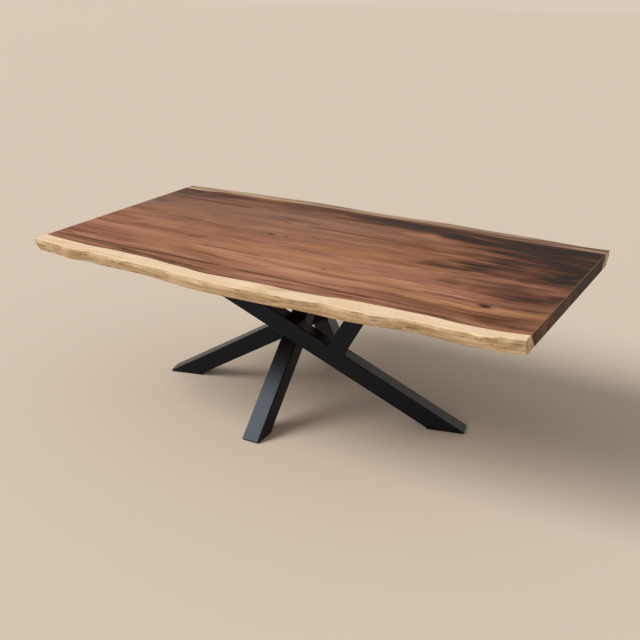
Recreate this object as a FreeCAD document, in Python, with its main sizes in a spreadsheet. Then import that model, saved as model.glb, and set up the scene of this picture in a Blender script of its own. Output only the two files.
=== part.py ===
import FreeCAD, Part
import Sketcher
import math
import os

# Live edge dining table, in millimetres, +Z up, standing on z = 0.
# A sawn slab with two natural edges lies on a welded spider base of square steel tube.
# +X runs along the slab and -Y is the side where its live edge stands out furthest.

DIMENSIONS = (
    # the slab
    ("table_height", 750, "floor to the top of the slab"),
    ("slab_length", 2200, "between the two sawn ends"),
    ("slab_width", 1210, "between the widest places of the two live edges"),
    ("slab_thickness", 60, "sawn faces, top to bottom"),
    ("arris_round", 4, "how far the top arris lies inside the edge's widest line"),
    ("saw_allowance", 10, "what the saw takes off each end of the log"),
    # the square tube
    ("tube_side", 80, "outside, across the flats"),
    ("tube_wall", 3, "wall of the tube"),
    ("tube_corner", 6, "outside corner radius of the tube"),
    # where the beams cross, and where they stand
    ("hub_x", -60, "crossing point of the beams, along the slab"),
    ("hub_y", -86, "crossing point, across the slab"),
    ("hub_height", 388, "crossing point above the floor"),
    ("right_foot_x", 621, "foot of the main beam"),
    ("right_foot_y", 84, "foot of the main beam"),
    ("left_foot_x", -718, "foot of the side beam"),
    ("left_foot_y", -21, "foot of the side beam"),
    ("side_line_back", 235, "how far the side beam's axis passes behind the hub"),
    ("side_line_up", -2, "how far the side beam's axis passes above the hub"),
    ("front_foot_x", -55, "foot of the cross beam"),
    ("front_foot_y", -397, "foot of the cross beam"),
    ("cross_line_left", 8, "how far the cross beam's axis passes left of the hub"),
    ("cross_line_down", 80, "how far the cross beam's axis passes below the hub"),
    ("back_foot_x", -140, "foot of the back leg"),
    ("back_foot_y", 480, "foot of the back leg"),
    ("back_root_short", 14, "how far short of the side beam's axis the back leg is sawn off"),
    ("brace_distance", 212, "from the hub down the main beam to the brace arm"),
    # feet
    ("foot_plate_thickness", 4, "steel plate that closes the foot of a leg"),
    ("pad_thickness", 3, "felt pad under a foot plate"),
    ("pad_inset", 4, "how far a pad stays inside its foot plate"),
    # plates that carry the slab
    ("plate_length", 200, "along the beam"),
    ("plate_margin", 35, "what the plate stands out past the tube on each side"),
    ("plate_thickness", 8, "thickness of a plate"),
    ("plate_corner", 12, "corner radius of a plate"),
    ("hole_inset", 18, "from a plate's long edges to its bolt holes"),
    # fasteners
    ("bolt_diameter", 8, "shank of a bolt"),
    ("bolt_length", 30, "under its head"),
    ("bolt_head_width", 13, "across the flats"),
    ("bolt_head_height", 6.5, "height of the hexagon head below its flange"),
    ("flange_diameter", 17.9, "flange under a bolt's head"),
    ("flange_thickness", 1.6, "thickness of the flange"),
    ("hole_clearance", 1, "how much wider a plate's hole is than its bolt"),
    ("insert_diameter", 12, "threaded insert, outside"),
    ("insert_length", 25, "threaded insert"),
    ("insert_bore_clearance", 0.2, "how much wider an insert's bore is than its bolt"),
    ("pocket_clearance", 0.4, "how much wider the slab's pocket is than its insert"),
    ("pocket_spare", 4, "how much deeper the slab's pocket is than its insert"),
)

# The two live edges, at evenly spaced places from the left end to the right: how far the
# edge lies inside the slab's full width, and how far the bark side is undercut below that.
FRONT_SETBACK = (73, 50, 46, 31, 27, 10, 0, 9, 24, 20, 43, 39, 82)
FRONT_UNDERCUT = (28, 23, 31, 46, 33, 27, 39, 37, 30, 44, 33, 29, 14)
BACK_SETBACK = (34, 19, 9, 8, 0, 9, 22, 21, 20, 33, 36, 53, 48)
BACK_UNDERCUT = (26, 34, 28, 38, 33, 27, 36, 31, 42, 30, 35, 38, 44)

# Sections of the slab from bottom to top: share of the thickness, share of the undercut
# and share of the arris rounding that the edge has there.
EDGE_LEVELS = (
    (0.0, 1.0, 0.0), (0.35, 0.50, 0.0), (0.65, 0.12, 0.0), (0.85, 0.0, 0.0), (1.0, 0.0, 1.0),
)

FLOOR = 0.0
HALF_TURN = 180
QUARTER_TURN = 90
BOTH_SIDES = (-1, 1)
HEXAGON = 6
# Where a sketch is drawn before its constraints pull it to size.
DRAWN_AT = 10.0
# How near two lengths have to be to count as equal.
NEAR = 0.01

doc = FreeCAD.newDocument("live_edge_dining_table")
sheet = doc.addObject("Spreadsheet::Sheet", "dims")
for row, (alias, number, note) in enumerate(DIMENSIONS, start=1):
    sheet.set(f"A{row}", alias)
    sheet.set(f"B{row}", str(number))
    sheet.set(f"C{row}", note)
    sheet.setAlias(f"B{row}", alias)
doc.recompute()


def size(alias):
    """Reads one driving dimension from the sheet."""
    return float(sheet.get(alias))


# ---------------------------------------------------------------- small helpers

def bind(feature, **bindings):
    """Ties properties of a feature to expressions on the sheet."""
    for name, expression in bindings.items():
        feature.setExpression(name, expression)
    return feature


def origin_plane(body, role):
    """Finds one of a body's own origin planes."""
    for feature in body.Origin.OriginFeatures:
        if feature.Role == role:
            return feature
    raise ValueError(role)


def new_sketch(body, name, role):
    """Adds a sketch on one of a body's origin planes."""
    sketch = body.newObject("Sketcher::SketchObject", name)
    sketch.AttachmentSupport = [(origin_plane(body, role), "")]
    sketch.MapMode = "FlatFace"
    return sketch


def add_constraint(sketch, *terms, expression=None):
    """Adds one sketch constraint, and binds its value where it has one."""
    index = sketch.addConstraint(Sketcher.Constraint(*terms))
    if expression:
        sketch.setExpression(f"Constraints[{index}]", expression)
    return index


def add_rectangle(sketch, width, height):
    """Draws a rectangle centred on the sketch's origin, with bound sides."""
    signs = ((-1, -1), (1, -1), (1, 1), (-1, 1))
    corners = [FreeCAD.Vector(x * DRAWN_AT, y * DRAWN_AT, 0) for x, y in signs]
    lines = []
    for start, end in zip(corners, corners[1:] + corners[:1]):
        lines.append(sketch.addGeometry(Part.LineSegment(start, end), False))
    for line, following in zip(lines, lines[1:] + lines[:1]):
        add_constraint(sketch, "Coincident", line, 2, following, 1)
    add_constraint(sketch, "Horizontal", lines[0])
    add_constraint(sketch, "Vertical", lines[1])
    add_constraint(sketch, "Horizontal", lines[2])
    add_constraint(sketch, "Vertical", lines[3])
    add_constraint(sketch, "Symmetric", lines[0], 1, lines[1], 2, -1, 1)
    drawn_side = 2 * DRAWN_AT
    add_constraint(sketch, "DistanceX", lines[0], 1, lines[0], 2, drawn_side, expression=width)
    add_constraint(sketch, "DistanceY", lines[1], 1, lines[1], 2, drawn_side, expression=height)


def add_hole_circle(sketch, side, away, diameter):
    """Draws a hole on the sketch's Y axis, at a bound distance from its origin."""
    centre = FreeCAD.Vector(0, DRAWN_AT * side, 0)
    outline = Part.Circle(centre, FreeCAD.Vector(0, 0, 1), DRAWN_AT / 4)
    circle = sketch.addGeometry(outline, False)
    add_constraint(sketch, "PointOnObject", circle, 3, -2)
    ends = (-1, 1, circle, 3) if side > 0 else (circle, 3, -1, 1)
    add_constraint(sketch, "DistanceY", *ends, DRAWN_AT, expression=away)
    add_constraint(sketch, "Diameter", circle, DRAWN_AT / 2, expression=diameter)


def round_edges(body, base, name, radius, wanted):
    """Rounds the edges of a body's feature that the test picks."""
    doc.recompute()
    picked = [f"Edge{i}" for i, edge in enumerate(base.Shape.Edges, start=1) if wanted(edge)]
    fillet = body.newObject("PartDesign::Fillet", name)
    fillet.Base = (base, picked)
    bind(fillet, Radius=radius)
    return fillet


def boolean(kind, name, base, tool):
    """Adds a Part boolean of two objects."""
    result = doc.addObject(f"Part::{kind}", name)
    result.Base = base
    result.Tool = tool
    return result


def heading(azimuth, rise):
    """Unit vector of a line with a plan angle and a slope, in degrees."""
    flat = math.cos(math.radians(rise))
    return FreeCAD.Vector(
        flat * math.cos(math.radians(azimuth)),
        flat * math.sin(math.radians(azimuth)),
        math.sin(math.radians(rise)),
    )


# ---------------------------------------------------------------- levels and beam lines

UNDERSIDE = size("table_height") - size("slab_thickness")
BEAM_TOP = UNDERSIDE - size("plate_thickness")
FOOT_PLATE_BOTTOM = FLOOR + size("pad_thickness")
BEAM_BOTTOM = FOOT_PLATE_BOTTOM + size("foot_plate_thickness")
HUB = FreeCAD.Vector(size("hub_x"), size("hub_y"), size("hub_height"))


class BeamLine:
    """The axis of a beam, from its foot or its root on another beam up to the slab."""

    def __init__(self, start, through=None, azimuth=None, rise=None):
        if through is not None:
            run = through - start
            azimuth = math.degrees(math.atan2(run.y, run.x))
            rise = math.degrees(math.atan2(run.z, math.hypot(run.x, run.y)))
        self.start = start
        self.azimuth = azimuth
        self.rise = rise
        self.direction = heading(azimuth, rise)

    def at_height(self, height):
        """Point of the axis at a height."""
        return self.start + self.direction * ((height - self.start.z) / self.direction.z)

    def overrun(self):
        """How far the tube has to pass a level cut for the cut to be whole."""
        return size("tube_side") / math.tan(math.radians(self.rise))

    def placement(self, point):
        """Placement that lays a body's X axis along the beam from a point."""
        return FreeCAD.Placement(point, FreeCAD.Rotation(self.azimuth, -self.rise, 0))


def floor_point(x, y):
    """Where a beam's axis meets the floor."""
    return FreeCAD.Vector(size(x), size(y), FLOOR)


main_line = BeamLine(floor_point("right_foot_x", "right_foot_y"), through=HUB)
BEHIND_HUB = HUB + FreeCAD.Vector(0, size("side_line_back"), size("side_line_up"))
side_line = BeamLine(floor_point("left_foot_x", "left_foot_y"), through=BEHIND_HUB)
cross_line = BeamLine(
    floor_point("front_foot_x", "front_foot_y"),
    through=HUB - FreeCAD.Vector(size("cross_line_left"), 0, size("cross_line_down")),
)
back_line = BeamLine(floor_point("back_foot_x", "back_foot_y"), through=BEHIND_HUB)
BACK_END = BEHIND_HUB - back_line.direction * size("back_root_short")
brace_line = BeamLine(
    HUB - main_line.direction * size("brace_distance"),
    azimuth=main_line.azimuth + HALF_TURN,
    rise=QUARTER_TURN - main_line.rise,
)


# ---------------------------------------------------------------- the welded base

def is_tube_corner(edge, half_side):
    """Whether an edge runs along the tube at a corner this far from its axis both ways."""
    first, last = edge.Vertexes[0].Point, edge.Vertexes[-1].Point
    at_corner = abs(abs(first.y) - half_side) < NEAR and abs(abs(first.z) - half_side) < NEAR
    return at_corner and abs(first.x - last.x) > half_side


def add_tube(name, line, start, end, hollow):
    """Square tube, or its solid envelope, between two points of a beam line."""
    body = doc.addObject("PartDesign::Body", name)
    section = new_sketch(body, name + "_section", "YZ_Plane")
    add_rectangle(section, "dims.tube_side", "dims.tube_side")
    if hollow:
        inside = "dims.tube_side - 2 * dims.tube_wall"
        add_rectangle(section, inside, inside)
    pad = body.newObject("PartDesign::Pad", name + "_length")
    pad.Profile = section
    pad.Length = (end - start).Length

    outside = size("tube_side") / 2
    outer = round_edges(
        body, pad, name + "_corners", "dims.tube_corner",
        lambda edge: is_tube_corner(edge, outside),
    )
    if hollow:
        round_edges(
            body, outer, name + "_inner_corners", "dims.tube_corner - dims.tube_wall",
            lambda edge: is_tube_corner(edge, outside - size("tube_wall")),
        )
    body.Placement = line.placement(start)
    return body


def level_band(name, low, high):
    """Wide flat box between two levels, which cuts beams level."""
    box = doc.addObject("Part::Box", name)
    bind(box, Length="2 * dims.slab_length", Width="2 * dims.slab_length")
    box.Height = high - low
    box.Placement.Base = FreeCAD.Vector(-size("slab_length"), -size("slab_length"), low)
    return box


def whole_tube(name, line, hollow):
    """Tube from below the floor to above the slab's underside."""
    start = line.at_height(FLOOR) - line.direction * line.overrun()
    end = line.at_height(UNDERSIDE) + line.direction * line.overrun()
    return add_tube(name, line, start, end, hollow)


def leg_tube(name, line, root):
    """Tube from below the floor up to its root on another beam."""
    start = line.at_height(FLOOR) - line.direction * line.overrun()
    return add_tube(name, line, start, root, True)


def arm_tube(name, line, root):
    """Tube from its root on another beam to above the slab's underside."""
    end = line.at_height(UNDERSIDE) + line.direction * line.overrun()
    return add_tube(name, line, root, end, True)


def fuse(name, *shapes):
    """Several shapes as one."""
    result = doc.addObject("Part::MultiFuse", name)
    result.Shapes = list(shapes)
    return result


main_envelope = whole_tube("main_envelope", main_line, False)
cross_envelope = whole_tube("cross_envelope", cross_line, False)
side_envelope = whole_tube("side_envelope", side_line, False)


def level_cut(name, tube):
    """Saws a beam level at the foot plate and at the plate under the slab."""
    return boolean("Common", name, tube, level_band(name + "_band", BEAM_BOTTOM, BEAM_TOP))


# The main, cross and side beams all run from the floor to the slab. The cross beam is notched
# over the main beam and the side beam over the cross beam. The back leg is coped to the side
# beam and the brace arm stands square on the main beam, so that every joint is steel on steel.
main_beam = level_cut("main_beam", whole_tube("main_tube", main_line, True))
cross_beam = boolean(
    "Cut", "cross_beam",
    level_cut("cross_sawn", whole_tube("cross_tube", cross_line, True)),
    main_envelope,
)
side_beam = boolean(
    "Cut", "side_beam",
    level_cut("side_sawn", whole_tube("side_tube", side_line, True)),
    fuse("main_and_cross", main_envelope, cross_envelope),
)
back_leg = boolean(
    "Cut", "back_leg",
    level_cut("back_sawn", leg_tube("back_tube", back_line, BACK_END)),
    side_envelope,
)
brace_arm = boolean(
    "Cut", "brace_arm",
    level_cut("brace_sawn", arm_tube("brace_tube", brace_line, brace_line.start)),
    main_envelope,
)


# ---------------------------------------------------------------- plates and pads

def is_upright(edge):
    """Whether an edge stands upright."""
    first, last = edge.Vertexes[0].Point, edge.Vertexes[-1].Point
    return math.hypot(first.x - last.x, first.y - last.y) < NEAR


def steel_plate(name, length, width, thickness, corner, with_holes):
    """Level plate with rounded corners, centred on its body's Z axis."""
    body = doc.addObject("PartDesign::Body", name)
    outline = new_sketch(body, name + "_outline", "XY_Plane")
    add_rectangle(outline, length, width)
    pad = body.newObject("PartDesign::Pad", name + "_thickness")
    pad.Profile = outline
    bind(pad, Length=thickness)
    round_edges(body, pad, name + "_corners", corner, is_upright)
    if with_holes:
        drill_bolt_holes(body, name)
    return body


def drill_bolt_holes(body, name):
    """Two bolt holes in a head plate, one on each side of its beam."""
    holes = new_sketch(body, name + "_hole_places", "XY_Plane")
    for side in BOTH_SIDES:
        add_hole_circle(
            holes, side,
            "dims.tube_side / 2 + dims.plate_margin - dims.hole_inset",
            "dims.bolt_diameter + dims.hole_clearance",
        )
    pocket = body.newObject("PartDesign::Pocket", name + "_holes")
    pocket.Profile = holes
    pocket.Type = "ThroughAll"
    pocket.Reversed = True
    return pocket


def foot_parts(name, line):
    """Steel plate that closes a foot, and the felt pad under it."""
    cut_length = f"dims.tube_side / sin({line.rise} deg)"
    turn = FreeCAD.Rotation(line.azimuth, 0, 0)
    middle = line.at_height(BEAM_BOTTOM)
    plate = steel_plate(
        f"{name}_foot_plate", cut_length, "dims.tube_side",
        "dims.foot_plate_thickness", "dims.tube_corner", with_holes=False,
    )
    plate.Placement = FreeCAD.Placement(
        FreeCAD.Vector(middle.x, middle.y, FOOT_PLATE_BOTTOM), turn,
    )
    pad = doc.addObject("Part::Box", f"{name}_floor_pad")
    bind(
        pad, Length=f"{cut_length} - 2 * dims.pad_inset",
        Width="dims.tube_side - 2 * dims.pad_inset", Height="dims.pad_thickness",
    )
    doc.recompute()
    corner = FreeCAD.Vector(-pad.Length.Value / 2, -pad.Width.Value / 2, 0)
    pad.Placement = FreeCAD.Placement(
        FreeCAD.Vector(middle.x, middle.y, FLOOR) + turn.multVec(corner), turn,
    )
    return [plate, pad]


def head_plate(name, line):
    """Steel plate welded across the top of a beam, under the slab."""
    plate = steel_plate(
        name, "dims.plate_length", "dims.tube_side + 2 * dims.plate_margin",
        "dims.plate_thickness", "dims.plate_corner", with_holes=True,
    )
    turn = FreeCAD.Rotation(line.azimuth, 0, 0)
    plate.Placement = FreeCAD.Placement(line.at_height(BEAM_TOP), turn)
    return plate


FEET = (("right", main_line), ("left", side_line), ("front", cross_line), ("back", back_line))
foot_nodes = []
for foot_name, foot_line in FEET:
    foot_nodes += foot_parts(foot_name, foot_line)

HEADS = (
    ("left_head_plate", main_line),
    ("right_head_plate", side_line),
    ("rear_head_plate", cross_line),
    ("brace_head_plate", brace_line),
)
head_plates = [head_plate(plate_name, plate_line) for plate_name, plate_line in HEADS]


def bolt_places():
    """Where the bolts pass the plates, on the plates' underside."""
    away = size("tube_side") / 2 + size("plate_margin") - size("hole_inset")
    places = []
    for plate in head_plates:
        for side in BOTH_SIDES:
            places.append(plate.Placement.multVec(FreeCAD.Vector(0, side * away, 0)))
    return places


BOLT_PLACES = bolt_places()


# ---------------------------------------------------------------- fasteners

def threaded_insert():
    """Sleeve standing on z = 0, for a bolt to screw into."""
    outside = bind(
        doc.addObject("Part::Cylinder", "insert_outside"),
        Radius="dims.insert_diameter / 2", Height="dims.insert_length",
    )
    bore = bind(
        doc.addObject("Part::Cylinder", "insert_bore"),
        Radius="(dims.bolt_diameter + dims.insert_bore_clearance) / 2",
        Height="dims.insert_length",
    )
    return boolean("Cut", "insert_pattern", outside, bore)


def flange_bolt():
    """Hexagon flange bolt whose head is below z = 0 and whose shank points up."""
    shank = bind(
        doc.addObject("Part::Cylinder", "bolt_shank"),
        Radius="dims.bolt_diameter / 2", Height="dims.bolt_length",
    )
    flange = bind(
        doc.addObject("Part::Cylinder", "bolt_flange"),
        Radius="dims.flange_diameter / 2", Height="dims.flange_thickness",
    )
    flange.Placement.Base = FreeCAD.Vector(0, 0, -size("flange_thickness"))
    head = bind(
        doc.addObject("Part::Prism", "bolt_head"),
        Circumradius="dims.bolt_head_width / 2 / cos(30 deg)",
        Height="dims.bolt_head_height",
    )
    head.Polygon = HEXAGON
    head_bottom = -size("flange_thickness") - size("bolt_head_height")
    head.Placement.Base = FreeCAD.Vector(0, 0, head_bottom)
    return fuse("bolt_pattern", shank, flange, head)


def group_at_bolts(name, pattern, height):
    """One node that holds a copy of a small part at each bolt."""
    doc.recompute()
    copies = []
    for place in BOLT_PLACES:
        copy = pattern.Shape.copy()
        copy.translate(FreeCAD.Vector(place.x, place.y, height))
        copies.append(copy)
    node = doc.addObject("Part::Feature", name)
    node.Shape = Part.makeCompound(copies)
    return node


plate_bolts = group_at_bolts("plate_bolts", flange_bolt(), BEAM_TOP)
threaded_inserts = group_at_bolts("threaded_inserts", threaded_insert(), UNDERSIDE)


# ---------------------------------------------------------------- the slab

def edge_points(side, setbacks, undercuts, undercut_share, round_share, level):
    """Points of one live edge at one level, from the left end to the right."""
    log_length = size("slab_length") + 2 * size("saw_allowance")
    step = log_length / (len(setbacks) - 1)
    points = []
    for place, (setback, undercut) in enumerate(zip(setbacks, undercuts)):
        inside = setback + undercut * undercut_share + size("arris_round") * round_share
        reach = size("slab_width") / 2 - inside
        points.append(FreeCAD.Vector(place * step - log_length / 2, side * reach, level))
    return points


def slab_outline(name, thickness_share, undercut_share, round_share):
    """Closed outline of the slab at one level: two flowing edges and two straight ends."""
    level = UNDERSIDE + thickness_share * size("slab_thickness")
    front = edge_points(-1, FRONT_SETBACK, FRONT_UNDERCUT, undercut_share, round_share, level)
    back = edge_points(1, BACK_SETBACK, BACK_UNDERCUT, undercut_share, round_share, level)
    back.reverse()
    edges = []
    for points, following in ((front, back), (back, front)):
        curve = Part.BSplineCurve()
        curve.interpolate(points)
        edges.append(curve.toShape())
        edges.append(Part.makeLine(points[-1], following[0]))
    outline = doc.addObject("Part::Feature", name)
    outline.Shape = Part.Wire(edges)
    return outline


log = doc.addObject("Part::Loft", "live_edge_log")
log.Sections = [slab_outline(f"slab_outline_{i}", *level) for i, level in enumerate(EDGE_LEVELS)]
log.Solid = True
log.Ruled = True
log.Closed = False

saw_box = doc.addObject("Part::Box", "sawn_block")
bind(saw_box, Length="dims.slab_length", Width="2 * dims.slab_width", Height="dims.slab_thickness")
saw_box.Placement.Base = FreeCAD.Vector(-size("slab_length") / 2, -size("slab_width"), UNDERSIDE)
sawn_slab = boolean("Common", "sawn_slab", log, saw_box)

pocket = doc.addObject("Part::Cylinder", "insert_pocket")
bind(
    pocket, Radius="(dims.insert_diameter + dims.pocket_clearance) / 2",
    Height="dims.insert_length + dims.pocket_spare",
)
pockets = group_at_bolts("insert_pockets", pocket, UNDERSIDE)
tabletop_slab = boolean("Cut", "tabletop_slab", sawn_slab, pockets)


# ---------------------------------------------------------------- checks and export

NODES = [tabletop_slab, main_beam, cross_beam, side_beam, back_leg, brace_arm]
NODES += foot_nodes + head_plates
FASTENERS = [plate_bolts, threaded_inserts]

doc.recompute()
for item in doc.Objects:
    if "Invalid" in item.State or "Error" in item.State:
        raise RuntimeError(f"{item.Label} failed: {item.State}")
for node in NODES + FASTENERS:
    pieces = len(BOLT_PLACES) if node in FASTENERS else 1
    if node.Shape.isNull() or not node.Shape.isValid():
        raise RuntimeError(f"{node.Label} has no valid shape")
    if len(node.Shape.Solids) != pieces:
        raise RuntimeError(f"{node.Label} has {len(node.Shape.Solids)} solids")

os.makedirs("parts", exist_ok=True)
for node in NODES + FASTENERS:
    node.Label = node.Name
    node.Shape.exportStep(f"parts/{node.Label}.step")
    print(node.Label, len(node.Shape.Solids), round(node.Shape.Volume), node.Shape.BoundBox)
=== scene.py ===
import math

import bmesh
import bpy
from mathutils import Matrix, Vector


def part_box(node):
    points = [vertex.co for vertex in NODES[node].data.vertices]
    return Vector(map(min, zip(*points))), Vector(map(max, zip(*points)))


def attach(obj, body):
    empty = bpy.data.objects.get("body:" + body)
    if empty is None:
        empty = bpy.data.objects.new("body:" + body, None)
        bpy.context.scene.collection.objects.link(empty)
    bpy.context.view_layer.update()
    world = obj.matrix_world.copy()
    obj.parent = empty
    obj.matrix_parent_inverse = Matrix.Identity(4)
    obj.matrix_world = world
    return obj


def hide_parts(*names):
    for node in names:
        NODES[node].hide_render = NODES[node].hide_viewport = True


bl_info = {
    "name": "Live edge dining table",
    "version": (1, 0, 0),
    "blender": (4, 5, 0),
    "location": "3D View > Sidebar > Table",
    "description": (
        "Slab with two live edges, welded spider base, fasteners and pads, on a plain floor"
    ),
    "category": "Object",
}

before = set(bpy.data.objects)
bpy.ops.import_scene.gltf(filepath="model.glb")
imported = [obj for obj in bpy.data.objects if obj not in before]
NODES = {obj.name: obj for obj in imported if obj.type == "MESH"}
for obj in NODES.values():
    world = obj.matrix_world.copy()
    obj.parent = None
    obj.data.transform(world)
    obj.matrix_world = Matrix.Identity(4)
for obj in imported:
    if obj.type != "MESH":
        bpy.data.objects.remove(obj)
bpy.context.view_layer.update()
SLAB_LOW, SLAB_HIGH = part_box("tabletop_slab")
SLAB_TOP = SLAB_HIGH.z
SLAB_END = SLAB_HIGH.x
MM = 0.001

TUBES = ("main_beam", "cross_beam", "side_beam", "back_leg", "brace_arm")
FOOT_PLATES = ("right_foot_plate", "left_foot_plate", "front_foot_plate", "back_foot_plate")
HEAD_PLATES = ("left_head_plate", "right_head_plate", "rear_head_plate", "brace_head_plate")
FLOOR_PADS = ("right_floor_pad", "left_floor_pad", "front_floor_pad", "back_floor_pad")


# ---------------------------------------------------------------- the slab's figure

# Where the sapwood meets the heartwood on the sawn top: (along, across), in metres, and how far
# across each line lies on the whole.
FRONT_SAPWOOD_LINE = (
    (-1.1, -0.462), (-1.02, -0.469), (-0.93, -0.478), (-0.81, -0.486), (-0.69, -0.483),
    (-0.54, -0.488), (-0.42, -0.500), (-0.30, -0.512), (-0.18, -0.527), (-0.06, -0.522),
    (0.09, -0.517), (0.24, -0.521), (0.33, -0.514), (0.42, -0.498), (0.60, -0.494),
    (0.75, -0.494), (0.90, -0.503), (1.02, -0.495), (1.1, -0.478),
)
FRONT_SAPWOOD_MEAN = -0.497
BACK_SAPWOOD_LINE = (
    (-1.1, 0.520), (-0.96, 0.516), (-0.86, 0.535), (-0.72, 0.534), (-0.54, 0.537), (-0.36, 0.543),
    (-0.12, 0.541), (0.0, 0.536), (0.18, 0.535), (0.36, 0.535), (0.48, 0.523), (0.60, 0.508),
    (0.72, 0.500), (0.90, 0.496), (1.1, 0.491),
)
BACK_SAPWOOD_MEAN = 0.527
# How much further out than the sawn slab's flowing line the front edge lies, in millimetres,
# at its top arris and at its foot.
ARRIS_RIPPLE = (
    (-1.1, 0), (-1.01, -7), (-0.94, -4), (-0.86, 8), (-0.81, 6), (-0.76, -6), (-0.70, -2),
    (-0.64, -4), (-0.58, 0), (-0.52, -3), (-0.46, 3), (-0.41, 2), (-0.34, -2), (-0.25, 5),
    (-0.20, 0), (-0.15, 0), (-0.11, -6), (-0.05, -1), (0.04, -1), (0.08, -5), (0.14, -3),
    (0.21, 1), (0.25, 7), (0.29, 10), (0.33, 4), (0.37, -4), (0.44, -4), (0.49, 2), (0.53, 0),
    (0.57, 13), (0.61, 7), (0.64, 3), (0.68, -5), (0.72, -2), (0.78, 3), (0.82, 11), (0.86, 8),
    (0.92, -3), (0.96, 9), (0.99, 2), (1.03, -9), (1.06, -6), (1.1, -4),
)
FOOT_RIPPLE = (
    (-1.1, 0), (-1.04, -9), (-0.97, -9), (-0.90, 1), (-0.80, -10), (-0.73, 1), (-0.62, 3),
    (-0.50, 0), (-0.34, 4), (-0.24, 3), (-0.08, -1), (0.18, 1), (0.22, -8), (0.31, -3), (0.43, 5),
    (0.58, 1), (0.62, -2), (0.80, -4), (0.88, 0), (0.98, -5), (1.1, 0),
)
# Dark heartwood: (along, across, half length, half width, depth of colour).
DARK_AREAS = (
    (0.66, 0.445, 0.58, 0.080, 0.95), (0.98, 0.38, 0.30, 0.16, 0.60),
    (0.20, 0.44, 0.30, 0.060, 0.45), (0.95, 0.10, 0.30, 0.28, 0.50),
    (0.62, 0.060, 0.14, 0.055, 0.70), (0.69, -0.13, 0.08, 0.045, 0.50),
    (1.05, 0.10, 0.09, 0.11, 0.35), (1.07, -0.150, 0.07, 0.04, 0.65),
    (0.92, -0.20, 0.12, 0.040, 0.55), (-0.45, -0.455, 0.42, 0.026, 0.34),
    (0.66, -0.40, 0.44, 0.040, 0.22), (0.40, -0.05, 0.20, 0.02, 0.20),
    (0.95, -0.31, 0.18, 0.030, 0.25), (-1.03, 0.24, 0.05, 0.04, 0.35),
    (-0.92, 0.455, 0.27, 0.055, 0.66), (-0.30, 0.49, 0.50, 0.050, 0.40),
    (-1.08, -0.39, 0.08, 0.05, 0.55), (0.85, 0.20, 0.20, 0.05, 0.30),
    (-0.33, 0.22, 0.09, 0.025, 0.30), (1.02, -0.43, 0.14, 0.04, 0.45),
    (0.30, -0.475, 0.60, 0.020, 0.25),
)
# Broad shades of the heartwood, the same way: darker where the depth is positive, else paler.
SHADED_AREAS = (
    (-0.78, -0.085, 0.24, 0.04, -0.18), (0.12, 0.03, 0.42, 0.20, -0.06),
    (0.40, 0.335, 0.13, 0.03, -0.34), (0.25, -0.24, 0.55, 0.14, -0.16),
    (0.90, -0.02, 0.12, 0.03, -0.20), (0.95, -0.34, 0.20, 0.03, -0.14),
    (0.95, 0.22, 0.42, 0.22, 0.17), (-1.0, 0.40, 0.30, 0.12, 0.06),
    (1.05, -0.28, 0.22, 0.16, 0.15),
)
# Dark growth lines: (start along, start across, end along, end across, half width, depth of
# colour).
GROWTH_LINES = (
    (-1.15, -0.413, -0.10, -0.420, 0.0100, 1.00), (-0.18, -0.420, 0.55, -0.450, 0.0080, 0.75),
    (-1.12, -0.433, -0.60, -0.442, 0.0060, 0.51), (-0.75, -0.443, -0.14, -0.492, 0.0075, 0.65),
    (0.00, -0.480, 0.50, -0.436, 0.0067, 0.55), (0.38, -0.436, 1.12, -0.448, 0.0075, 0.61),
    (0.22, -0.474, 0.85, -0.479, 0.0075, 0.51), (-0.45, -0.234, -0.08, -0.246, 0.0090, 0.51),
    (-0.12, -0.290, 0.66, -0.316, 0.0090, 0.32), (0.54, -0.386, 1.08, -0.378, 0.0067, 0.51),
    (0.58, -0.280, 1.12, -0.288, 0.0075, 0.65), (-0.22, 0.222, 0.52, 0.198, 0.0083, 0.75),
    (0.50, 0.198, 1.10, 0.166, 0.0090, 0.51), (-1.12, 0.366, -0.52, 0.356, 0.0090, 1.00),
    (-0.42, 0.380, 0.18, 0.334, 0.0090, 0.45), (0.42, -0.002, 0.86, 0.022, 0.0083, 0.61),
    (-1.12, -0.150, -0.90, -0.166, 0.0075, 0.58), (-1.12, -0.284, -0.72, -0.292, 0.0067, 0.41),
    (-0.56, -0.168, -0.455, -0.128, 0.0100, 0.60), (-0.40, 0.270, -0.24, 0.215, 0.0120, 0.25),
    (-0.16, 0.418, 0.14, 0.410, 0.0100, 0.80), (-0.42, 0.441, -0.25, 0.436, 0.0085, 0.65),
    (-0.34, 0.276, -0.12, 0.270, 0.0085, 0.65),
)
# Knots: (along, across, radius, depth of colour).
KNOTS = (
    (0.880, -0.314, 0.014, 0.95), (-0.168, 0.041, 0.006, 0.80), (-0.246, 0.037, 0.009, 0.45),
    (1.050, 0.122, 0.020, 0.60), (0.190, -0.252, 0.006, 0.35),
)
# Tints that vary the wood's hue. They are multiplied into its linear colour.
GOLDEN_TINT = (1.0, 0.97, 0.80)
ROSY_TINT = (0.98, 0.89, 0.96)
OLIVE_TINT = (0.88, 1.0, 0.86)
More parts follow.
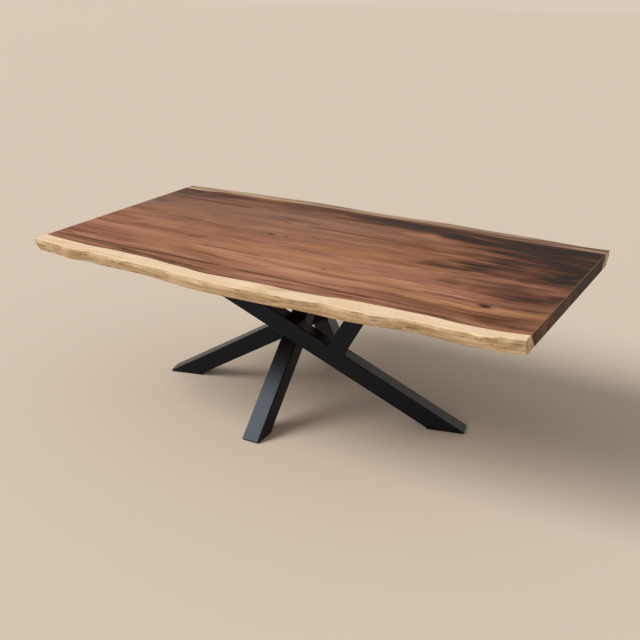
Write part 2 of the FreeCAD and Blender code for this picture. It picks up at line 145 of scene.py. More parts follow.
# The wood's noises: how fast each changes along, across and up, per metre, then how many finer
# layers it has and how strong they are.
WOOD_NOISES = {
    # The way of the grain.
    "sway": (1.1, 2.2, 2.2, 1, 0.5),
    "waver": (5, 14, 14, 2, 0.5),
    "ripple": (2.6, 6, 6, 2, 0.5),
    # The heartwood's figure, from broad to fine, and where it is streaky.
    "bands": (0.8, 9, 9, 3, 0.55),
    "mottle": (2.6, 17, 17, 4, 0.6),
    "streaks": (2.4, 48, 48, 4, 0.6),
    "lines": (5, 170, 170, 4, 0.6),
    "fibres": (22, 900, 900, 2, 0.6),
    "threads": (1.5, 80, 80, 3, 0.5),
    "curls": (6, 12, 12, 3, 0.55),
    "streakiness": (1.3, 6, 6, 2, 0.5),
    "hue": (1.7, 9, 9, 3, 0.6),
    # The sapwood and the marks that the bark leaves.
    "ragged edge": (9, 30, 30, 3, 0.5),
    "sap streaks": (2.2, 60, 60, 4, 0.6),
    "side streaks": (4, 50, 110, 4, 0.62),
    "patches": (5.5, 14, 26, 4, 0.65),
    "spots": (15, 40, 80, 3, 0.6),
    # The sawn ends.
    "pores": (200, 420, 420, 2, 0.6),
}
HUE_SHIFT = 5 / 9


# ---------------------------------------------------------------- colours

def from_screen(red, green, blue):
    """Linear colour of a screen colour, whose parts run from 0 to 255."""
    parts = []
    for part in (red, green, blue):
        share = part / 255
        parts.append(share / 12.92 if share <= 0.04045 else ((share + 0.055) / 1.055) ** 2.4)
    return tuple(parts)


def colour_property(name, description, screen_colour):
    """A colour that a user can change."""
    return bpy.props.FloatVectorProperty(
        name=name, description=description, subtype="COLOR", size=3, min=0, max=1,
        default=from_screen(*screen_colour),
    )


def share_property(name, description, default):
    """A share from 0 to 1 that a user can change."""
    return bpy.props.FloatProperty(
        name=name, description=description, default=default, min=0, max=1, subtype="FACTOR",
    )


def length_property(name, description, default):
    """A length that a user can change."""
    return bpy.props.FloatProperty(
        name=name, description=description, default=default, min=0, precision=4, unit="LENGTH",
    )


# ---------------------------------------------------------------- shader maths

class Field:
    """A socket whose value varies over a surface. Arithmetic on it adds Math nodes."""

    def __init__(self, nodes, socket):
        self.nodes = nodes
        self.socket = socket

    def math(self, operation, *others, clamp=False):
        settings = {"operation": operation, "use_clamp": clamp}
        values = dict(enumerate((self,) + others))
        return self.nodes.node("ShaderNodeMath", settings, values)

    def __add__(self, other):
        return self.math("ADD", other)

    __radd__ = __add__

    def __sub__(self, other):
        return self.math("SUBTRACT", other)

    def __rsub__(self, other):
        return (self * -1) + other

    def __mul__(self, other):
        return self.math("MULTIPLY", other)

    __rmul__ = __mul__

    def __truediv__(self, other):
        return self.math("DIVIDE", other)

    def __abs__(self):
        return self.math("ABSOLUTE")

    def clamped(self):
        """The field, kept between 0 and 1."""
        return self.math("ADD", 0, clamp=True)

    def least(self, other):
        """The smaller of the two."""
        return self.math("MINIMUM", other)

    def most(self, other):
        """The larger of the two."""
        return self.math("MAXIMUM", other)

    def fading(self):
        """1 where the field is 0, falling smoothly as it grows."""
        return (self * -1).math("EXPONENT")

    def rising(self, low, high):
        """0 below low, 1 above high and smooth in between. The two may be swapped."""
        return self.nodes.rescale(self, low, high, 0, 1, interpolation_type="SMOOTHSTEP")


class Nodes:
    """The shader nodes of a material or of the world."""

    def __init__(self, tree):
        self.tree = tree

    def node(self, kind, settings=None, values=None, output=0):
        """Adds a node: its settings first, then the values or links of its sockets."""
        node = self.tree.nodes.new(kind)
        for name, setting in (settings or {}).items():
            setattr(node, name, setting)
        for key, value in (values or {}).items():
            self.feed(node.inputs[key], value)
        return Field(self, node.outputs[output])

    def feed(self, socket, value):
        """Links a field to a socket, or sets the socket's own value."""
        if isinstance(value, Field):
            self.tree.links.new(value.socket, socket)
        elif socket.type == "RGBA":
            socket.default_value = (*value, 1)
        else:
            socket.default_value = value

    def rescale(self, value, low, high, new_low, new_high, **settings):
        """Takes what lies between low and high to between new_low and new_high."""
        values = {0: value, 1: low, 2: high, 3: new_low, 4: new_high}
        return self.node("ShaderNodeMapRange", settings, values)


class Finish(Nodes):
    """One procedural material."""

    def __init__(self, name):
        self.material = bpy.data.materials.new(name)
        self.material.use_nodes = True
        super().__init__(self.material.node_tree)
        self.surface = self.tree.nodes["Principled BSDF"]

    def set(self, **values):
        """Sets or links the surface shader's sockets."""
        for name, value in values.items():
            self.feed(self.surface.inputs[name.replace("_", " ")], value)

    def place(self):
        """Along, across and up, in metres."""
        coordinates = self.node("ShaderNodeTexCoord", output="Object")
        return [self.node("ShaderNodeSeparateXYZ", None, {0: coordinates}, i) for i in range(3)]

    def vector(self, x, y, z):
        return self.node("ShaderNodeCombineXYZ", None, {0: x, 1: y, 2: z})

    def noise(self, at, detail=2, roughness=0.5, scale=1):
        values = {"Vector": at, "Scale": scale, "Detail": detail, "Roughness": roughness}
        return self.node("ShaderNodeTexNoise", {"noise_dimensions": "3D"}, values)

    def mix(self, share, first, second, blend="MIX"):
        """A colour between two. The node's colours are its inputs 6 and 7 and its output 2."""
        settings = {"data_type": "RGBA", "blend_type": blend}
        return self.node("ShaderNodeMix", settings, {0: share, 6: first, 7: second}, 2)

    def ramp(self, share, stops):
        """A colour that runs through several stops."""
        field = self.node("ShaderNodeValToRGB", None, {0: share})
        elements = field.socket.node.color_ramp.elements
        while len(elements) < len(stops):
            elements.new(0.5)
        for element, (position, colour) in zip(elements, stops):
            element.position = position
            element.color = (*colour, 1)
        return field

    def line(self, along, points, low, high):
        """A value between low and high that follows a line through given points."""
        share = self.rescale(along, -SLAB_END, SLAB_END, 0, 1)
        field = self.node("ShaderNodeFloatCurve", None, {1: share})
        mapping = field.socket.node.mapping
        curve = mapping.curves[0]
        length = 2 * SLAB_END
        spots = [((x + SLAB_END) / length, (y - low) / (high - low)) for x, y in points]
        curve.points[0].location = spots[0]
        curve.points[1].location = spots[-1]
        for spot in spots[1:-1]:
            curve.points.new(*spot)
        mapping.update()
        return self.rescale(field, 0, 1, low, high)

    def bump(self, height, distance, strength):
        values = {"Height": height, "Distance": distance, "Strength": strength}
        return self.node("ShaderNodeBump", None, values)


def square(field):
    return field * field


# ---------------------------------------------------------------- modelling helpers

# Faces that meet at more than this angle meet at an arris.
SHARP_ANGLE = math.radians(40)


def only(piece):
    """Makes a piece the only one selected, and the active one."""
    bpy.ops.object.select_all(action="DESELECT")
    piece.select_set(True)
    bpy.context.view_layer.objects.active = piece


def start_editing(piece):
    """Goes into edit mode on a piece."""
    only(piece)
    bpy.ops.object.mode_set(mode="EDIT")


def stop_editing():
    """Goes back to object mode."""
    bpy.ops.object.mode_set(mode="OBJECT")


def select_edges(piece, wanted):
    """Selects, in edit mode, the edges that the test picks."""
    bpy.ops.mesh.select_mode(type="EDGE")
    bpy.ops.mesh.select_all(action="DESELECT")
    mesh = bmesh.from_edit_mesh(piece.data)
    for edge in mesh.edges:
        if wanted(edge):
            edge.select_set(True)
    bmesh.update_edit_mesh(piece.data)


def divide(piece, axis, cuts):
    """Cuts a block across one axis into even lengths."""
    def runs_along(edge):
        run = edge.verts[1].co - edge.verts[0].co
        return abs(run[axis]) > 0.9 * run.length

    start_editing(piece)
    select_edges(piece, runs_along)
    bpy.ops.mesh.subdivide(number_cuts=cuts)
    stop_editing()


def apply_modifier(piece, kind, **settings):
    """Adds a modifier to a piece and applies it."""
    only(piece)
    modifier = piece.modifiers.new(kind.lower(), kind)
    for name, value in settings.items():
        setattr(modifier, name, value)
    bpy.ops.object.modifier_apply(modifier=modifier.name)


def finish_piece(piece, material):
    """Gives a piece its material, its shading and its body."""
    only(piece)
    bpy.ops.object.transform_apply(location=True, rotation=True, scale=True)
    bpy.ops.object.shade_smooth_by_angle(angle=SHARP_ANGLE)
    piece.data.materials.clear()
    piece.data.materials.append(material)
    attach(piece, "root")


def paint_node(name, material):
    """Gives a CAD node its material."""
    mesh = NODES[name].data
    mesh.materials.clear()
    mesh.materials.append(material)


def reading(points, along):
    """Value of a line through given points at a place along the slab."""
    for (x0, y0), (x1, y1) in zip(points, points[1:]):
        if x0 <= along <= x1:
            share = (along - x0) / (x1 - x0)
            eased = share * share * (3 - 2 * share)
            return y0 + (y1 - y0) * eased
    return 0.0


# ---------------------------------------------------------------- the slab

# A point that moves less than this, in metres, wasn't pressed onto the live edge, and this share
# of such points is the most that is let pass.
UNMOVED = 1e-7
MOST_MISSED = 0.05
# How far in from the ends and the top arris the wear reaches its full depth, in metres, and its
# share at that arris.
WEAR_START = 0.012
WEAR_AT_ARRIS = 0.25
# A point belongs to a live edge when its normal leans at least this much sideways, and when it is
# at least this far from the middle, in metres.
SIDE_FACING = 0.3
SIDE_FROM = 0.4


class SlabSettings(bpy.types.PropertyGroup):
    """Sizes and colours of the slab."""
    column_length: length_property(
        "Column length", "How finely the live edges are cut lengthwise", 0.005)
    level_cuts: bpy.props.IntProperty(
        name="Level cuts", description="Cuts through the slab's thickness",
        default=11, min=1, max=30)
    width_cuts: bpy.props.IntProperty(
        name="Width cuts", description="Cuts across the slab", default=11, min=1, max=60)
    arris_round: length_property(
        "Arris rounding", "How far the arrises are sanded round", 0.0018)
    lump_depth: length_property(
        "Lump depth", "Depth of the broad hollows in the live edges", 0.006)
    dent_depth: length_property(
        "Dent depth", "Depth of the small dents in the live edges", 0.003)
    heartwood_pale: colour_property(
        "Pale heartwood", "Colour of the palest heartwood", (190, 138, 106))
    heartwood: colour_property("Heartwood", "Main colour of the heartwood", (151, 104, 79))
    # Also stands in for a painted sheen: the greyer calm wood at the back on the left.
    heartwood_taupe_and_sheen: colour_property(
        "Taupe heartwood", "Colour of the calm wood at the back", (158, 125, 107))
    heartwood_dark: colour_property("Dark heartwood", "Colour of the dark streaks", (97, 59, 43))
    ring_brown: colour_property("Growth lines", "Colour of the dark growth lines", (80, 43, 28))
    heartwood_black: colour_property(
        "Darkest heartwood", "Colour of the darkest bands", (37, 25, 24))
    sapwood: colour_property("Sapwood", "Colour of the pale outer wood", (240, 214, 180))
    sapwood_blush: colour_property(
        "Blush", "Colour of the warmer patches of sapwood", (236, 200, 168))
    sapwood_tan: colour_property(
        "Tan sapwood", "Colour of the sapwood under the bark", (194, 160, 113))
    sapwood_dull: colour_property(
        "Dull sapwood", "Colour of the thin sapwood at the back", (112, 82, 66))
    bark_brown: colour_property(
        "Bark stain", "Colour of the spots that the bark leaves", (128, 90, 54))
    sheen: share_property("Roughness", "Roughness of the oiled top", 0.5)


def bend_round_knots(x, y, grain):
    """Bends the grain round the knots. Gives it back with the knots' own darkness."""
    darkness = 0
    for along, across, radius, depth in KNOTS:
        away_x, away_y = x - along, y - across
        reach = (square(away_x / (3.5 * radius)) + square(away_y / (1.8 * radius))).fading()
        grain = grain - away_y * reach * 0.75
        core = (square(away_x / (1.5 * radius)) + square(away_y / radius)).fading()
        darkness = core * depth + darkness
    return grain, darkness


def soft_ovals(areas, x, y, flat):
    """Adds up the depths of oval areas. Flat ones keep their depth nearly up to the border."""
    total = 0
    for along, across, half_length, half_width, depth in areas:
        away = square((x - along) / half_length) + square((y - across) / half_width)
        total = (square(away) if flat else away).fading() * depth + total
    return total


def growth_lines(x, y):
    """Adds up the depths of the dark growth lines, each fading out towards its ends."""
    total = 0
    for start_x, start_y, end_x, end_y, half_width, depth in GROWTH_LINES:
        slope = (end_y - start_y) / (end_x - start_x)
        middle = (start_x + end_x) / 2
        half_length = (end_x - start_x) / 2
        offset = y - (x * slope + (start_y - slope * start_x))
        near = square(offset / half_width).fading()
        within = (abs(x - middle) / half_length).rising(1.0, 0.7)
        total = near * within * depth + total
    return total


def slab_wood(settings):
    """Oiled slab wood: streaky heartwood, pale sapwood and stained live edges."""
    finish = Finish("live_edge_wood")
    x, y, z = finish.place()
    below_top = SLAB_TOP - z

    def noise(name, across=y):
        """One of the wood's noises. Given the grain, it follows that across the slab."""
        along_rate, across_rate, up_rate, detail, roughness = WOOD_NOISES[name]
        at = finish.vector(x * along_rate, across * across_rate, z * up_rate)
        return finish.noise(at, detail, roughness)

    # The grain wanders from side to side, follows both sapwood lines and bends round the knots.
    sway, waver, ripple = (noise(name) - 0.5 for name in ("sway", "waver", "ripple"))
    wildness = x.rising(0.1, 1.0) * 1.1 + 0.7
    front_line = finish.line(x, FRONT_SAPWOOD_LINE, low=-0.60, high=-0.40)
    back_line = finish.line(x, BACK_SAPWOOD_LINE, low=0.40, high=0.60)
    wander = sway * 0.07 + ripple * wildness * 0.026 + waver * wildness * 0.015
    along_front = (front_line - FRONT_SAPWOOD_MEAN) * y.rising(0.2, -0.5)
    along_back = (back_line - BACK_SAPWOOD_MEAN) * y.rising(-0.2, 0.5)
    grain, knots = bend_round_knots(x, y, y + wander - (along_front + along_back))

    bands, mottle, streaks, lines, fibres = (
        noise(name, grain) for name in ("bands", "mottle", "streaks", "lines", "fibres")
    )
    threads = noise("threads", grain).rising(0.58, 0.70)
    curls = noise("curls") - 0.5
    # The streaks come and go along the slab, and are faint at the back on the left.
    calm = y.rising(-0.28, 0.05) * x.rising(0.5, -0.1) * y.rising(0.52, 0.34) * 0.5
    streakiness = (noise("streakiness").rising(0.38, 0.62) * 0.6 + 0.25) * (1 - calm)

    # The dark and the shaded areas have wavering borders, and the dark ones are ragged.
    soft_x = x + waver * 0.35
    soft_y = grain + curls * 0.10
    ragged = (streaks + mottle * 1.7 + curls + lines * 0.5 - 0.8).clamped()
    dark = (soft_ovals(DARK_AREAS, soft_x, soft_y, flat=True) * ragged).least(0.84)
    shade = soft_ovals(SHADED_AREAS, soft_x, soft_y, flat=False)
    rings = growth_lines(x, y + wander * 0.4) * (streaks * 0.8 + lines * 0.8 + 0.4)
    rings = rings.clamped() * 0.9

    # Each part's factor says how much it darkens the heartwood.
    lean = below_top * 0.8
    fringe = (front_line + lean - y).rising(-0.032, -0.002)
    tone = (
        bands * 0.50 + mottle * 0.62 + (streaks - 0.5) * streakiness * wildness * 1.3
        + lines * 0.34 + threads * streakiness * 0.24 + fibres * 0.12
        + curls * (wildness * 0.16 + calm * 0.34) + y * 0.28 + dark * 0.56 + fringe * 0.14
        + shade + knots - 0.43
    ).clamped()
    heartwood = finish.ramp(tone, (
        (0.0, settings.heartwood_pale), (0.30, settings.heartwood),
        (0.62, settings.heartwood_dark), (1.0, settings.heartwood_black),
    ))
    # The hue's noise is moved aside, so that it doesn't go with the bands.
    hue = noise("hue", grain + HUE_SHIFT) - x.rising(0.4, 1.0) * 0.05
    tints = (
        (hue.rising(0.52, 0.64), GOLDEN_TINT), (hue.rising(0.48, 0.36), ROSY_TINT),
        ((dark * curls.rising(-0.06, 0.06)).clamped(), OLIVE_TINT),
    )
    for share, tint in tints:
        heartwood = finish.mix(share, heartwood, tint, "MULTIPLY")
    # The calm wood at the back on the left is greyed towards taupe, partly its own tone and partly
    # a painted sheen.
    taupe_and_sheen_share = calm * y.rising(-0.05, 0.25) * 0.6
    heartwood = finish.mix(taupe_and_sheen_share, heartwood, settings.heartwood_taupe_and_sheen)
    heartwood = finish.mix(rings, heartwood, settings.ring_brown)

    ragged_edge = (noise("ragged edge") - 0.5) * 0.010
    in_front = (front_line + lean - y + ragged_edge).rising(-0.002, 0.002)
    at_back = (y - back_line + lean + ragged_edge).rising(-0.006, 0.006)
    is_sapwood = in_front.most(at_back)

    # The sapwood has warm patches and tan streaks, and the bark has stained it on the sides.
    under_bark = (below_top + waver * 0.012).rising(0.0008, 0.005)
    sap_streaks = noise("sap streaks")
    side_streaks = noise("side streaks")
    patches = noise("patches").rising(0.47, 0.66)
    spots = noise("spots").rising(0.60, 0.66)
    sapwood = finish.mix(curls.rising(-0.02, 0.12) * 0.7, settings.sapwood, settings.sapwood_blush)
    sapwood = finish.mix(sap_streaks.rising(0.46, 0.68) * 0.42, sapwood, settings.sapwood_tan)
    bark_side = finish.mix(side_streaks.rising(0.34, 0.66), settings.sapwood_tan, settings.sapwood)
    bark_side = finish.mix(curls.rising(0.0, 0.12) * 0.5, bark_side, settings.sapwood_blush)
    # The side is also darker along its foot, mixed towards the bark stain's colour.
    at_foot = (z - SLAB_LOW.z).rising(0.007, 0.001)
    bark_and_foot_share = (patches * 0.40 + spots * 0.60 + at_foot * 0.25).clamped()
    bark_side = finish.mix(bark_and_foot_share, bark_side, settings.bark_brown)
    sapwood = finish.mix(under_bark * 0.92, sapwood, bark_side)
    # The thin sapwood at the back is dull on the top, and more so towards the right.
    on_top = below_top.rising(0.005, 0.001)
    dulling = (x.rising(-0.2, 1.0) * 0.30 + 0.62) * (sap_streaks * 3.0 - 0.4)
    sapwood = finish.mix((at_back * on_top * dulling).clamped(), sapwood, settings.sapwood_dull)
    wood = finish.mix(is_sapwood, heartwood, sapwood)

    # The sawn ends show darker end grain with fine pores, and a pale line along their top arris is
    # a painted highlight.
    from_end = SLAB_END - abs(x)
    at_end = from_end.rising(0.0016, 0.0006)
    end_tone = at_end * (1 - is_sapwood * 0.75) * (noise("pores") * 0.45 + 0.38)
    wood = finish.mix(end_tone, wood, settings.heartwood_black)
    # Painted highlight: the ends' top arris is mixed towards the tan sapwood colour.
    worn = from_end.rising(0.0040, 0.0012) * below_top.rising(0.004, 0.001)
    wood = finish.mix(worn * 0.3, wood, settings.sapwood_tan)

    bark_relief = (side_streaks * 1.5 - spots) * under_bark * is_sapwood
    height = lines * 0.25 + fibres * 0.30 - rings * 0.1 - knots * 0.8 + bark_relief * 4
    finish.set(
        Base_Color=wood, Roughness=lines * 0.10 + is_sapwood * 0.05 + (settings.sheen - 0.05),
        Normal=finish.bump(height, distance=0.0004, strength=0.5), Specular_IOR_Level=0.06,
    )
    return finish.material


class TABLE_OT_live_edge_slab(bpy.types.Operator):
    """Model the slab: a block pressed onto the natural edges, then rounded and worn"""
    bl_idname = "table.live_edge_slab"
    bl_label = "Live edge slab"

    def execute(self, context):
        settings = context.scene.table_slab
        # Points right on an end or an arris would miss the sawn slab, so the block starts short.
        hair = 0.0002
        size = SLAB_HIGH - SLAB_LOW
        middle = (SLAB_HIGH + SLAB_LOW) / 2
        bpy.ops.object.select_all(action="DESELECT")
        bpy.ops.mesh.primitive_cube_add(size=1, location=middle)
        slab = context.object
        slab.name = slab.data.name = "live_edge_slab"
        slab.scale = (size.x - 2 * hair, size.y, size.z - 2 * hair)
        bpy.ops.object.transform_apply(location=True, rotation=False, scale=True)
        # One subdivision makes 100 cuts at most, so the columns are cut in two rounds.
        wide_columns = 40
        divide(slab, 0, wide_columns - 1)
        divide(slab, 0, round(size.x / wide_columns / settings.column_length) - 1)
        divide(slab, 2, settings.level_cuts)
        self.press_on_live_edges(slab)
        self.ripple_front(slab)
        divide(slab, 1, settings.width_cuts)
        self.stretch_back(slab, middle, size, hair)
        self.wear(slab, settings)
        finish_piece(slab, slab_wood(settings))
        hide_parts("tabletop_slab")
        return {"FINISHED"}

    def press_on_live_edges(self, slab):
        """Projects the block's long sides onto the sawn slab's own edges."""
        group = slab.vertex_groups.new(name="long_sides")
        sides = [v.index for v in slab.data.vertices if abs(abs(v.co.y) - SLAB_HIGH.y) < MM]
        group.add(sides, 1.0, "REPLACE")
        source = NODES["tabletop_slab"].copy()
        source.data = source.data.copy()
        bpy.context.collection.objects.link(source)
        apply_modifier(
            slab, "SHRINKWRAP", target=source, wrap_method="PROJECT", use_project_y=True,
            use_positive_direction=True, use_negative_direction=True, vertex_group=group.name,
        )
        bpy.data.objects.remove(source)
        vertices = slab.data.vertices
        missed = sum(abs(abs(vertices[i].co.y) - SLAB_HIGH.y) < UNMOVED for i in sides)
        if missed > len(sides) * MOST_MISSED:
            raise RuntimeError(f"{missed} of {len(sides)} points missed the live edges")
        inner = slab.vertex_groups.new(name="inner_sides")
        inner.add([i for i in sides if self.is_inner(vertices[i].co)], 1.0, "REPLACE")
        apply_modifier(
            slab, "SMOOTH", factor=0.5, iterations=10, use_x=False, use_z=False,
            vertex_group=inner.name,
        )

    def is_inner(self, spot):
        """Whether a point of a side lies off the arrises and the sawn ends."""
        return SLAB_LOW.z + MM < spot.z < SLAB_TOP - MM and abs(spot.x) < SLAB_END - MM

    def stretch_back(self, slab, middle, size, hair):
        """Takes the block back to its full length and thickness."""
        start_editing(slab)
        bpy.ops.mesh.select_all(action="SELECT")
        full = (size.x / (size.x - 2 * hair), 1, size.z / (size.z - 2 * hair))
        bpy.ops.transform.resize(value=full, center_override=middle)
        stop_editing()

    def ripple_front(self, slab):
        """Moves the front edge in and out by given amounts, at its arris and at its foot."""
        for vertex in slab.data.vertices:
            if vertex.co.y < 0:
                level = (vertex.co.z - SLAB_LOW.z) / (SLAB_TOP - SLAB_LOW.z)
                at_arris = reading(ARRIS_RIPPLE, vertex.co.x)
                at_foot = reading(FOOT_RIPPLE, vertex.co.x)
                out = (at_arris * level + at_foot * (1 - level)) * MM
                vertex.co.y = max(vertex.co.y - out, SLAB_LOW.y)

    def wear(self, slab, settings):
        """Rounds the arrises, then hollows and dents the live edges."""
        apply_modifier(
            slab, "BEVEL", width=settings.arris_round, segments=2, limit_method="ANGLE",
            angle_limit=SHARP_ANGLE, use_clamp_overlap=True,
        )
        # Applying a modifier drops references to groups, so the group goes by its name.
        group_name = "live_edges"
        group = slab.vertex_groups.new(name=group_name)
        for vertex in slab.data.vertices:
            facing = abs(vertex.normal.y)
            inside = min(1.0, (SLAB_END - abs(vertex.co.x)) / WEAR_START)
            below = min(1.0, WEAR_AT_ARRIS + (SLAB_TOP - vertex.co.z) / WEAR_START)
            if facing > SIDE_FACING and abs(vertex.co.y) > SIDE_FROM:
                group.add([vertex.index], facing * inside * below, "REPLACE")
        stretch = bpy.data.objects.new("stretch", None)
        bpy.context.collection.objects.link(stretch)
        # Each with its size, in metres, how far it is drawn out along the slab, and its depth.
        hollows = (
            ("lumps", 0.035, 3.0, settings.lump_depth), ("dents", 0.012, 2.0, settings.dent_depth),
        )
        for name, size, stretching, depth in hollows:
            stretch.scale = (stretching, 1, 1)
            bpy.context.view_layer.update()
            texture = bpy.data.textures.new(name, "CLOUDS")
            texture.noise_scale = size
            texture.noise_depth = 2
            apply_modifier(
                slab, "DISPLACE", texture=texture, texture_coords="OBJECT",
                texture_coords_object=stretch, strength=depth, mid_level=1.0,
                vertex_group=group_name,
            )
        bpy.data.objects.remove(stretch)


# ---------------------------------------------------------------- the base

# The powder coat's paler clouds, and a bluish tint on its reflections, a painted reflection of
# bluish light.
COAT_CLOUD = from_screen(15, 16, 18)
COAT_REFLECTION = (0.68, 0.80, 1.0)


class BaseSettings(bpy.types.PropertyGroup):
    """Colours and finish of the steel base."""
    coat_colour: colour_property("Powder coat", "Colour of the powder coat", (9, 10, 12))
    coat_roughness: share_property("Roughness", "Roughness of the powder coat", 0.33)
    peel_size: length_property("Orange peel", "Spacing of the powder coat's fine texture", 0.0012)


def powder_coat(settings):
    """Matt black powder coat with a fine orange peel."""
    finish = Finish("matt_black_powder_coat")
    x, y, z = finish.place()
    at = finish.vector(x, y, z)
    peel = finish.noise(at, scale=1 / settings.peel_size)
    clouds = finish.noise(at, detail=3, scale=9)
    colour = finish.mix(clouds.rising(0.3, 0.7) * 0.5, settings.coat_colour, COAT_CLOUD)
    finish.set(
        Base_Color=colour, Roughness=clouds * 0.08 + (settings.coat_roughness - 0.04),
        Normal=finish.bump(peel, distance=0.00015, strength=0.35), Specular_IOR_Level=0.3,
        # The specular tint paints a bluish reflection.
        Specular_Tint=COAT_REFLECTION,
    )
    return finish.material


class TABLE_OT_steel_base(bpy.types.Operator):
    """Powder coat the tubes and plates of the welded base"""
    bl_idname = "table.steel_base"
    bl_label = "Steel base"

    def execute(self, context):
        material = powder_coat(context.scene.table_base)
        for name in TUBES + FOOT_PLATES + HEAD_PLATES:
            paint_node(name, material)
        return {"FINISHED"}


# ---------------------------------------------------------------- fasteners and pads

# The tarnish on plated metal, and the stray fibres in felt.
TARNISH = from_screen(120, 118, 112)
STRAY_FIBRES = from_screen(84, 80, 74)


class HardwareSettings(bpy.types.PropertyGroup):
    """Colours of the fasteners and the pads."""
    zinc_colour: colour_property("Zinc", "Colour of the zinc plating", (176, 178, 182))
    brass_colour: colour_property("Brass", "Colour of the threaded inserts", (196, 160, 92))
    felt_colour: colour_property("Felt", "Colour of the floor pads", (52, 49, 46))


def plated_metal(name, colour, roughness):
    """Plated or turned metal with fine marks."""
    finish = Finish(name)
    x, y, z = finish.place()
    marks = finish.noise(finish.vector(x, y, z), detail=4, roughness=0.6, scale=260)
    finish.set(
        Base_Color=finish.mix(marks.rising(0.3, 0.8) * 0.3, colour, TARNISH),
        Metallic=1.0, Roughness=marks * 0.2 + (roughness - 0.1),
        Normal=finish.bump(marks, distance=0.0001, strength=0.3),
    )
    return finish.material


def pressed_felt(settings):
    """Pressed felt with short stray fibres."""
    finish = Finish("pressed_felt")
    x, y, z = finish.place()
    at = finish.vector(x, y, z)
    fluff = finish.noise(at, detail=4, roughness=0.7, scale=900)
    mottle = finish.noise(at, detail=3, roughness=0.6, scale=140)
    colour = finish.mix(mottle.rising(0.3, 0.7) * 0.6, settings.felt_colour, STRAY_FIBRES)
    finish.set(
        Base_Color=colour, Roughness=0.95,
        Normal=finish.bump(fluff, distance=0.0005, strength=0.6),
    )
    return finish.material


class TABLE_OT_fasteners(bpy.types.Operator):
    """Plate the flange bolts with zinc, and make the inserts brass"""
    bl_idname = "table.fasteners"
    bl_label = "Fasteners"

    def execute(self, context):
        settings = context.scene.table_hardware
        zinc = plated_metal("zinc_plating", settings.zinc_colour, roughness=0.35)
        brass = plated_metal("turned_brass", settings.brass_colour, roughness=0.3)
        paint_node("plate_bolts", zinc)
        paint_node("threaded_inserts", brass)
        return {"FINISHED"}


class TABLE_OT_floor_pads(bpy.types.Operator):
    """Give the floor pads their felt"""
    bl_idname = "table.floor_pads"
    bl_label = "Floor pads"

    def execute(self, context):
        felt = pressed_felt(context.scene.table_hardware)
        for name in FLOOR_PADS:
            paint_node(name, felt)
        return {"FINISHED"}


# ---------------------------------------------------------------- the stage

# The floor's width in metres, and how far it lies under the pads, so that they share no plane.
FLOOR_SIZE = 60
FLOOR_DROP = 0.0003
# The light from all round, and the wide soft light with where it comes from.
FILL_COLOUR = (1.0, 0.985, 0.96)
KEY_COLOUR = (1.0, 0.97, 0.93)
KEY_TOWARDS = (-0.62, -0.42, 0.66)
KEY_SPREAD = math.radians(32)
# The camera's place in metres, its roll in radians and its sensor's width in millimetres.
CAMERA_PLACE = (1.8431, -3.0902, 1.8889)
CAMERA_ROLL = 0.0016
SENSOR_WIDTH = 36


class StageSettings(bpy.types.PropertyGroup):
    """Floor, light and camera."""
    floor_colour: colour_property("Floor", "Colour of the floor", (214, 200, 183))
    backdrop_colour: colour_property("Backdrop", "Colour behind the table", (217, 203, 186))
    fill: bpy.props.FloatProperty(
        name="Fill light", description="Strength of the light from all round", default=0.42, min=0)
    key: bpy.props.FloatProperty(
        name="Key light", description="Strength of the wide soft light", default=2.7, min=0)
    lens: bpy.props.FloatProperty(
        name="Lens", description="Focal length of the camera", default=49.83, min=1, unit="CAMERA")
    yaw: bpy.props.FloatProperty(
        name="Turn", description="How far the camera is turned", default=math.radians(30.46),
        subtype="ANGLE")
    pitch: bpy.props.FloatProperty(
        name="Tilt", description="How far the camera looks down", default=math.radians(22.42),
        subtype="ANGLE")


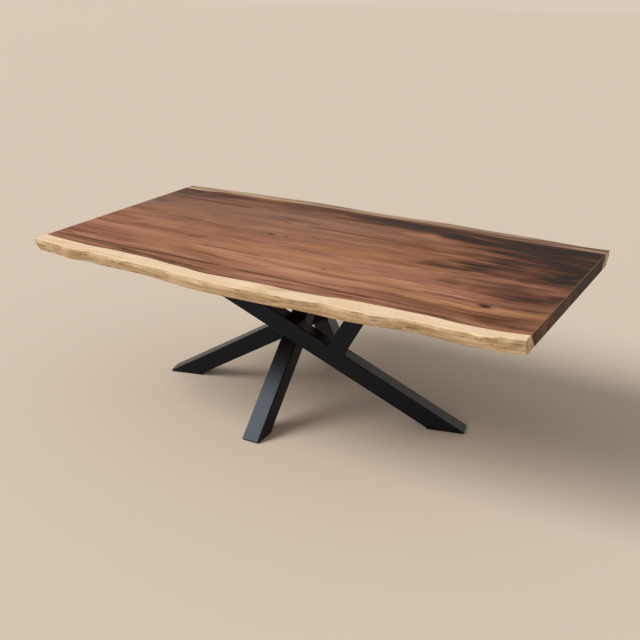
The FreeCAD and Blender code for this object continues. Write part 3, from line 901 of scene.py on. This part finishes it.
class TABLE_OT_stage(bpy.types.Operator):
    """Lay the floor and set the light and the camera"""
    bl_idname = "table.stage"
    bl_label = "Floor, light and camera"

    def execute(self, context):
        settings = context.scene.table_stage
        self.lay_floor(context, settings)
        self.light_world(context, settings)
        self.hang_lamp(context, settings)
        self.set_camera(context, settings)
        context.scene.view_settings.view_transform = "Standard"
        return {"FINISHED"}

    def lay_floor(self, context, settings):
        """A plain pale floor, wide enough to run out of sight."""
        bpy.ops.object.select_all(action="DESELECT")
        bpy.ops.mesh.primitive_plane_add(size=FLOOR_SIZE, location=(0, 0, -FLOOR_DROP))
        floor = context.object
        floor.name = floor.data.name = "floor"
        finish = Finish("plain_floor")
        finish.set(Base_Color=tuple(settings.floor_colour), Roughness=0.8)
        floor.data.materials.append(finish.material)

    def light_world(self, context, settings):
        """Even light from all round, with the backdrop's colour where it is seen."""
        world = bpy.data.worlds.new("studio")
        context.scene.world = world
        world.use_nodes = True
        world.node_tree.nodes.clear()
        nodes = Nodes(world.node_tree)
        kinds = ("Is Camera Ray", "Is Glossy Ray", "Is Transmission Ray")
        camera, glossy, transmission = (
            nodes.node("ShaderNodeLightPath", output=kind) for kind in kinds
        )
        is_seen = camera.most(glossy).most(transmission)
        light = nodes.node(
            "ShaderNodeBackground", None, {"Color": FILL_COLOUR, "Strength": settings.fill})
        backdrop = nodes.node("ShaderNodeBackground", None, {"Color": settings.backdrop_colour})
        shown = nodes.node("ShaderNodeMixShader", None, {0: is_seen, 1: light, 2: backdrop})
        output = world.node_tree.nodes.new("ShaderNodeOutputWorld")
        nodes.feed(output.inputs["Surface"], shown)

    def hang_lamp(self, context, settings):
        """One wide soft light, high on the left."""
        lamp = bpy.data.lights.new("soft_light", "SUN")
        lamp.energy = settings.key
        lamp.angle = KEY_SPREAD
        lamp.color = KEY_COLOUR
        holder = bpy.data.objects.new("soft_light", lamp)
        holder.rotation_euler = Vector(KEY_TOWARDS).to_track_quat("Z", "Y").to_euler()
        context.collection.objects.link(holder)

    def set_camera(self, context, settings):
        """The camera looks down on the table from its front right."""
        camera = bpy.data.cameras.new("camera")
        camera.lens = settings.lens
        camera.sensor_width = SENSOR_WIDTH
        holder = bpy.data.objects.new("camera", camera)
        context.collection.objects.link(holder)
        level = math.cos(settings.pitch)
        forward = Vector((
            -math.sin(settings.yaw) * level, math.cos(settings.yaw) * level,
            -math.sin(settings.pitch),
        ))
        sideways = forward.cross(Vector((0, 0, 1))).normalized()
        upward = sideways.cross(forward)
        turn = Matrix((sideways, upward, -forward)).transposed()
        roll = Matrix.Rotation(CAMERA_ROLL, 3, forward)
        holder.matrix_world = Matrix.Translation(CAMERA_PLACE) @ (roll @ turn).to_4x4()
        context.scene.camera = holder


# ---------------------------------------------------------------- panel and registration

OPERATORS = (
    TABLE_OT_live_edge_slab, TABLE_OT_steel_base, TABLE_OT_fasteners, TABLE_OT_floor_pads,
    TABLE_OT_stage,
)
SETTINGS = {
    "table_slab": SlabSettings, "table_base": BaseSettings,
    "table_hardware": HardwareSettings, "table_stage": StageSettings,
}


class TABLE_PT_panel(bpy.types.Panel):
    """The table's sizes, colours and pieces"""
    bl_idname = "TABLE_PT_panel"
    bl_label = "Live edge table"
    bl_space_type = "VIEW_3D"
    bl_region_type = "UI"
    bl_category = "Table"

    def draw(self, context):
        for name, group in SETTINGS.items():
            box = self.layout.box()
            for setting in group.__annotations__:
                box.prop(getattr(context.scene, name), setting)
        for operator in OPERATORS:
            self.layout.operator(operator.bl_idname)


CLASSES = (*SETTINGS.values(), *OPERATORS, TABLE_PT_panel)


def register():
    for item in CLASSES:
        bpy.utils.register_class(item)
    for name, group in SETTINGS.items():
        setattr(bpy.types.Scene, name, bpy.props.PointerProperty(type=group))


def unregister():
    for name in SETTINGS:
        delattr(bpy.types.Scene, name)
    for item in reversed(CLASSES):
        bpy.utils.unregister_class(item)


def main():
    """Registers the add-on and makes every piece."""
    register()
    bpy.ops.table.live_edge_slab()
    bpy.ops.table.steel_base()
    bpy.ops.table.fasteners()
    bpy.ops.table.floor_pads()
    bpy.ops.table.stage()


if __name__ == "__main__":
    main()
